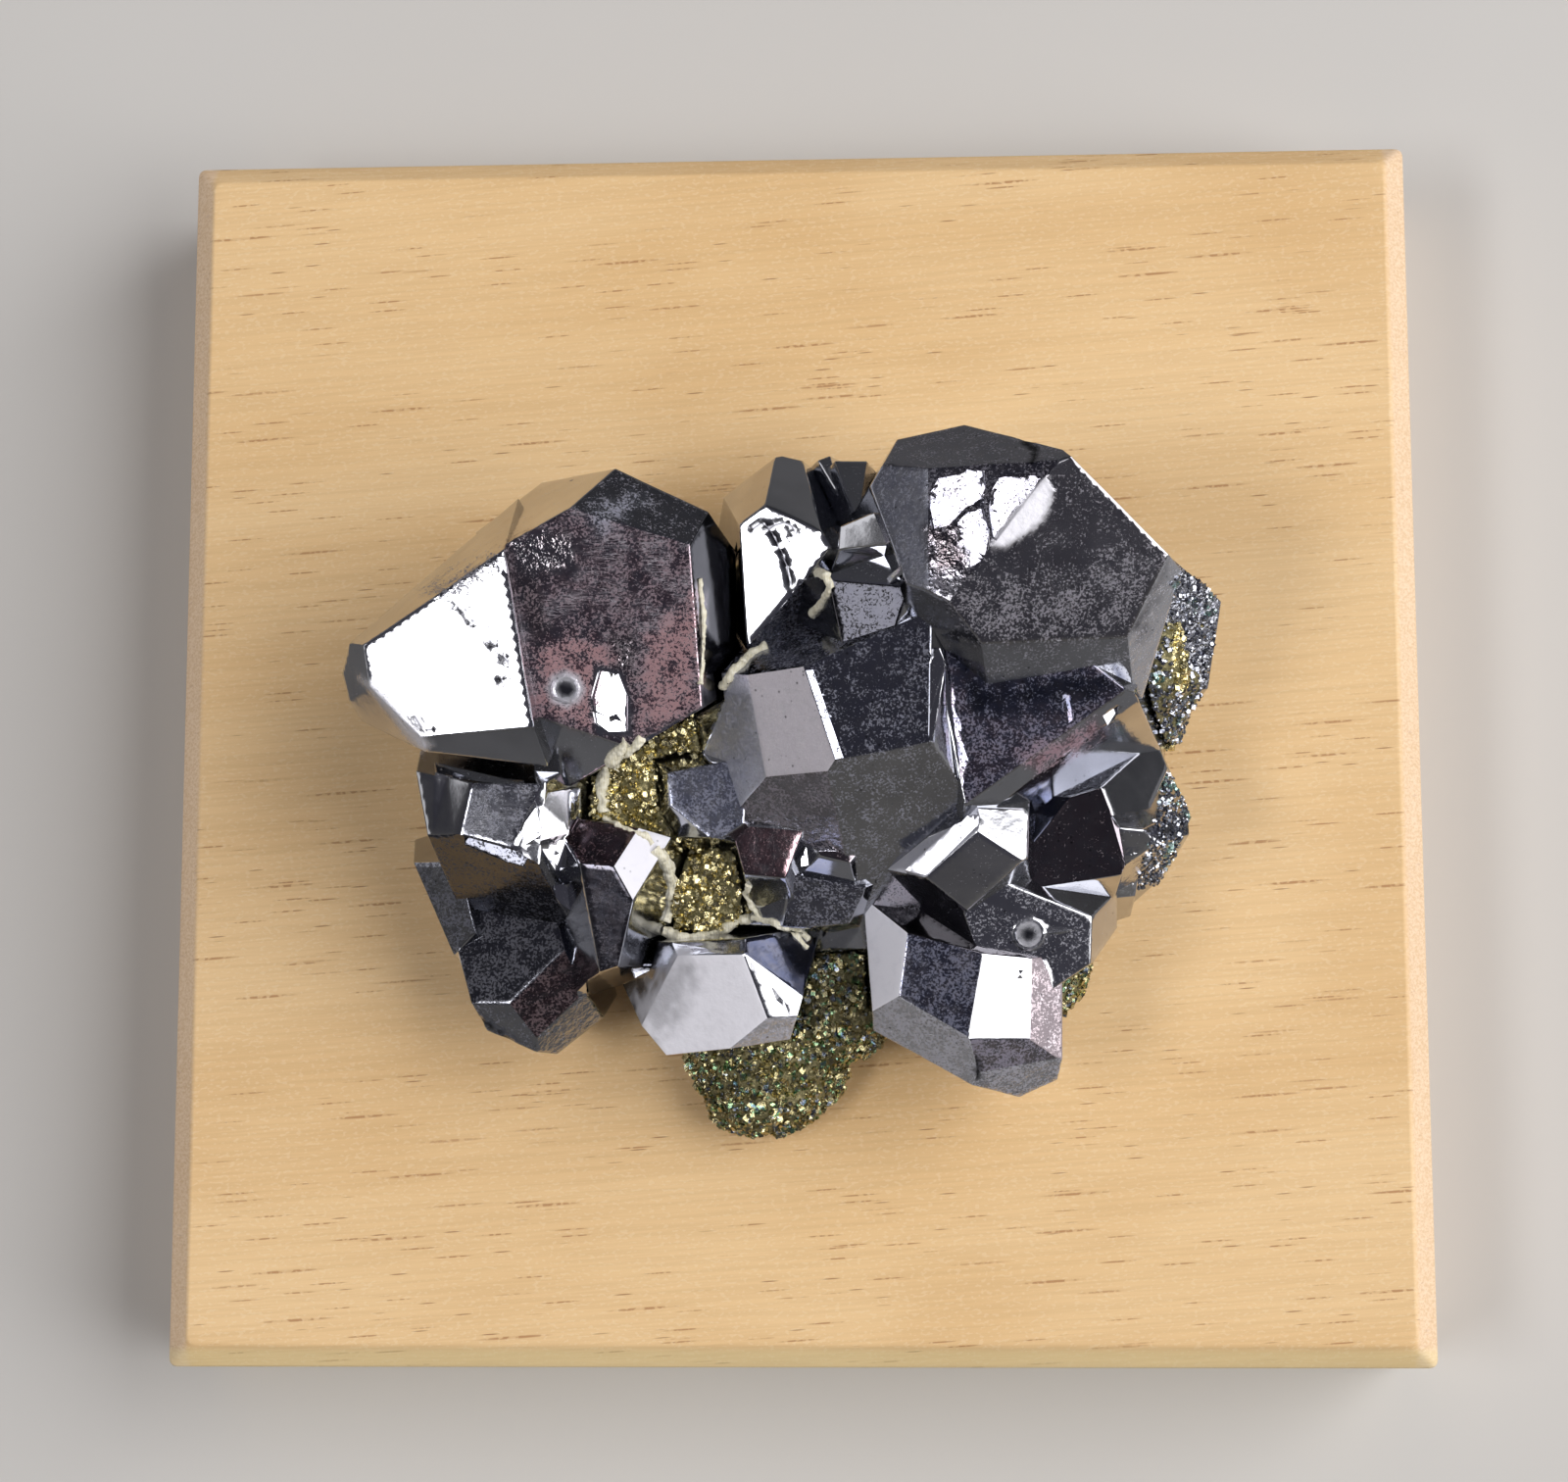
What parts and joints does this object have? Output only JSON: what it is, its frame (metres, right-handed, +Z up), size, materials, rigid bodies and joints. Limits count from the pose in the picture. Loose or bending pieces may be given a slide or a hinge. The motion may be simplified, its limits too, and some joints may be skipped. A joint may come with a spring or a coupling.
{
  "type": "galena with pyrite on a display block",
  "caption": "Cluster of lead-grey galena crystals on a brassy pyrite matrix, resting on a square pale wooden display block.",
  "frame": {"origin": "middle of the display block's underside", "axes": "+Z up, +X to the right and +Y to the back as seen from the front"},
  "size_m": [0.1, 0.0984, 0.0468],
  "materials": {
    "pale_wood": "smooth sanded, unvarnished",
    "galena": "metallic lustre, lead grey with blue and mauve tarnish",
    "pyrite": "metallic lustre, finely crystalline brassy gold"
  },
  "bodies": {
    "root": {"display_block": "pale_wood", "galena_left_cluster": "galena", "galena_right_cluster": "galena", "galena_front_crystal": "galena", "pyrite_matrix": "pyrite"}
  },
  "joints": []
}
